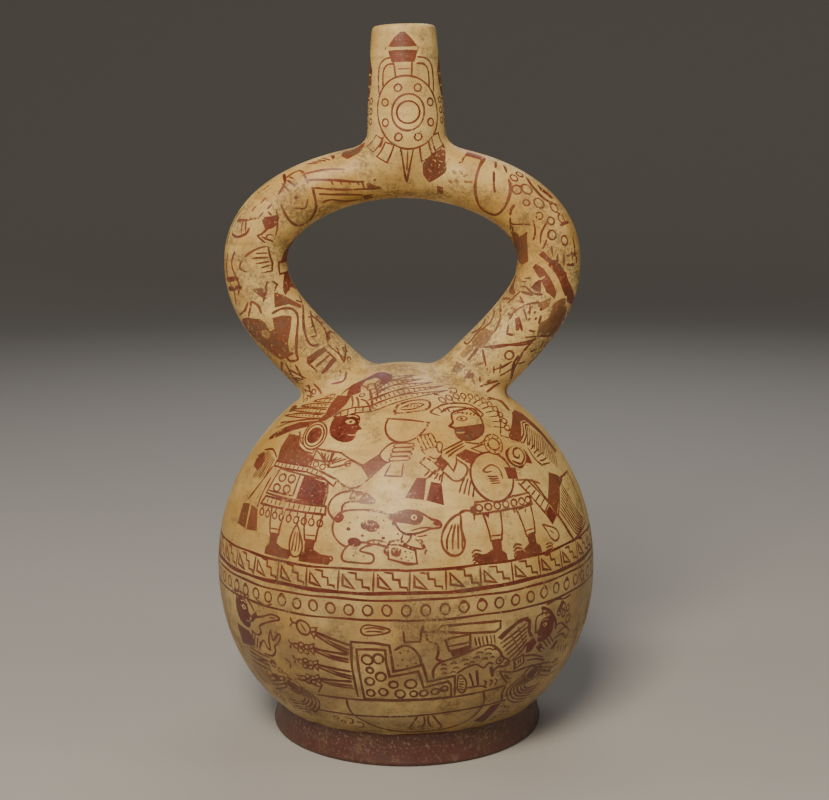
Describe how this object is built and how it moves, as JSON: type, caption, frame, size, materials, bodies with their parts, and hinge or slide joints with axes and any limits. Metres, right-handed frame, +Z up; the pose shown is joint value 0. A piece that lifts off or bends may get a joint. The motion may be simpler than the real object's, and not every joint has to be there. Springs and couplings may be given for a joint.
{
  "type": "stirrup spout vessel",
  "caption": "Hollow earthenware bottle: round chamber on a low ring foot, stirrup-shaped tubular handle joining under one short spout, painted in red-brown line on cream.",
  "frame": {"origin": "centre of the ring foot's underside, on the chamber's axis", "axes": "+Z up through the chamber to the spout; the stirrup lies in the XZ plane; -Y is the side shown in the picture"},
  "size_m": [0.1584, 0.1584, 0.2901],
  "materials": {
    "slipped_clay": "burnished cream slip with red-brown painting"
  },
  "bodies": {
    "root": {"vessel": "slipped_clay"}
  },
  "joints": []
}
